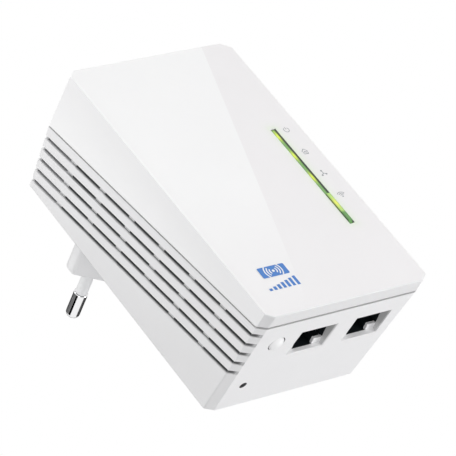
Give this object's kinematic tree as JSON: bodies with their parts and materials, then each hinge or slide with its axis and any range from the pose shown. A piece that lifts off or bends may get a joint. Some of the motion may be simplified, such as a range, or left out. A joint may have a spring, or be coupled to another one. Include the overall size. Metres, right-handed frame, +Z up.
{
  "type": "powerline adapter",
  "caption": "Plug in powerline adapter: wedge fronted white casing with vented sides, light slit, pair button, two network sockets below and a flat two pin mains plug behind.",
  "frame": {"origin": "centre of the plug block's end face, between the two pins", "axes": "+Y into the wall socket along the pins, +Z up, +X to the right seen from the front; the front face looks along -Y and the network sockets open downwards"},
  "size_m": [0.0546, 0.0768, 0.094],
  "materials": {
    "casing": "satin white moulded plastic",
    "guide": "green tinted clear moulding",
    "key": "light green translucent moulding",
    "jack": "black moulded plastic",
    "gold": "gold plated spring wire",
    "pin": "nickel plated brass",
    "sleeve": "pale insulating plastic",
    "board": "green circuit board",
    "dark": "black moulded plastic",
    "steel": "bright steel",
    "alloy": "bare aluminium",
    "light": "lit yellow green diode lens",
    "winding": "yellow taped winding",
    "ferrite": "dark grey ferrite",
    "film": "yellow film capacitor case",
    "ceramic": "pale ceramic"
  },
  "bodies": {
    "casing": {"front_cover": "casing", "rear_housing": "casing", "plug_block": "casing", "plug_pin_left": "pin", "plug_pin_right": "pin", "pin_sleeve_left": "sleeve", "pin_sleeve_right": "sleeve", "case_screw_left": "steel", "case_screw_right": "steel", "antenna_left": "alloy", "antenna_right": "alloy", "light_guide": "guide", "led_power": "light", "led_powerline": "light", "led_ethernet": "light", "led_wifi": "light", "wifi_switch_body": "dark", "logic_board": "board", "power_board": "board", "insulation_sheet": "dark", "board_header": "dark", "button_board": "board", "button_header": "dark", "pair_switch_body": "dark", "reset_switch_body": "dark", "ethernet_jack_right": "jack", "jack_contacts_right": "gold", "ethernet_jack_left": "jack", "jack_contacts_left": "gold", "processor": "dark", "heat_sink": "alloy", "memory_chip": "dark", "radio_shield": "steel", "lan_transformer": "dark", "coupling_transformer": "ferrite", "transformer_core": "ferrite", "transformer_winding": "winding", "bulk_capacitor": "dark", "output_capacitor": "dark", "x_capacitor": "film", "rectifier": "dark", "line_fuse": "ceramic", "line_choke": "ferrite"},
    "wifi_key": {"wifi_button": "key", "wifi_switch_plunger": "steel"},
    "pair_key": {"pair_button": "casing", "pair_switch_plunger": "steel"},
    "reset_key": {"reset_switch_plunger": "steel"}
  },
  "joints": [
    {"name": "wifi_button_press", "type": "slide", "parent": "casing", "child": "wifi_key", "axis": [0, 1, 0], "range_m": [0, 0.0005], "stiffness_N_per_m": 1500},
    {"name": "pair_button_press", "type": "slide", "parent": "casing", "child": "pair_key", "axis": [0, 0, 1], "range_m": [0, 0.0005], "stiffness_N_per_m": 1500},
    {"name": "reset_plunger_press", "type": "slide", "parent": "casing", "child": "reset_key", "axis": [0, 0, 1], "range_m": [0, 0.00025], "stiffness_N_per_m": 2500}
  ]
}
